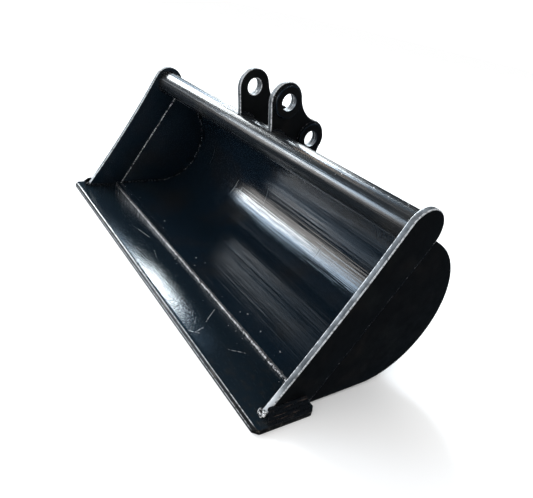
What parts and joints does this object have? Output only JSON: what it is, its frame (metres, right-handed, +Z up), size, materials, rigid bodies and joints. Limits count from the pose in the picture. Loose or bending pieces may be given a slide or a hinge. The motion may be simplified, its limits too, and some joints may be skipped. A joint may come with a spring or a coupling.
{
  "type": "excavator bucket",
  "caption": "Wide toothless grading bucket with a flat cutting edge, rolled back, torque tube and two pin ears.",
  "frame": {"origin": "centre of the bucket's footprint box, on the plane of the blade's underside", "axes": "+X across the bucket towards its right-hand side, +Y from the cutting edge to the back, +Z up"},
  "size_m": [1.044, 0.417, 0.466],
  "materials": {
    "black_paint": "glossy black paint over mill-finish plate",
    "worn_black_paint": "black paint, scuffed, bare steel showing along the lip"
  },
  "bodies": {
    "root": {"cutting_edge": "worn_black_paint", "wrapper": "black_paint", "side_bar_left": "black_paint", "side_bar_right": "black_paint", "side_plate_left": "black_paint", "side_plate_right": "black_paint", "torque_tube": "black_paint", "ear_left": "black_paint", "ear_right": "black_paint", "boss_upper_left": "black_paint", "boss_lower_left": "black_paint", "boss_upper_right": "black_paint", "boss_lower_right": "black_paint"}
  },
  "joints": []
}
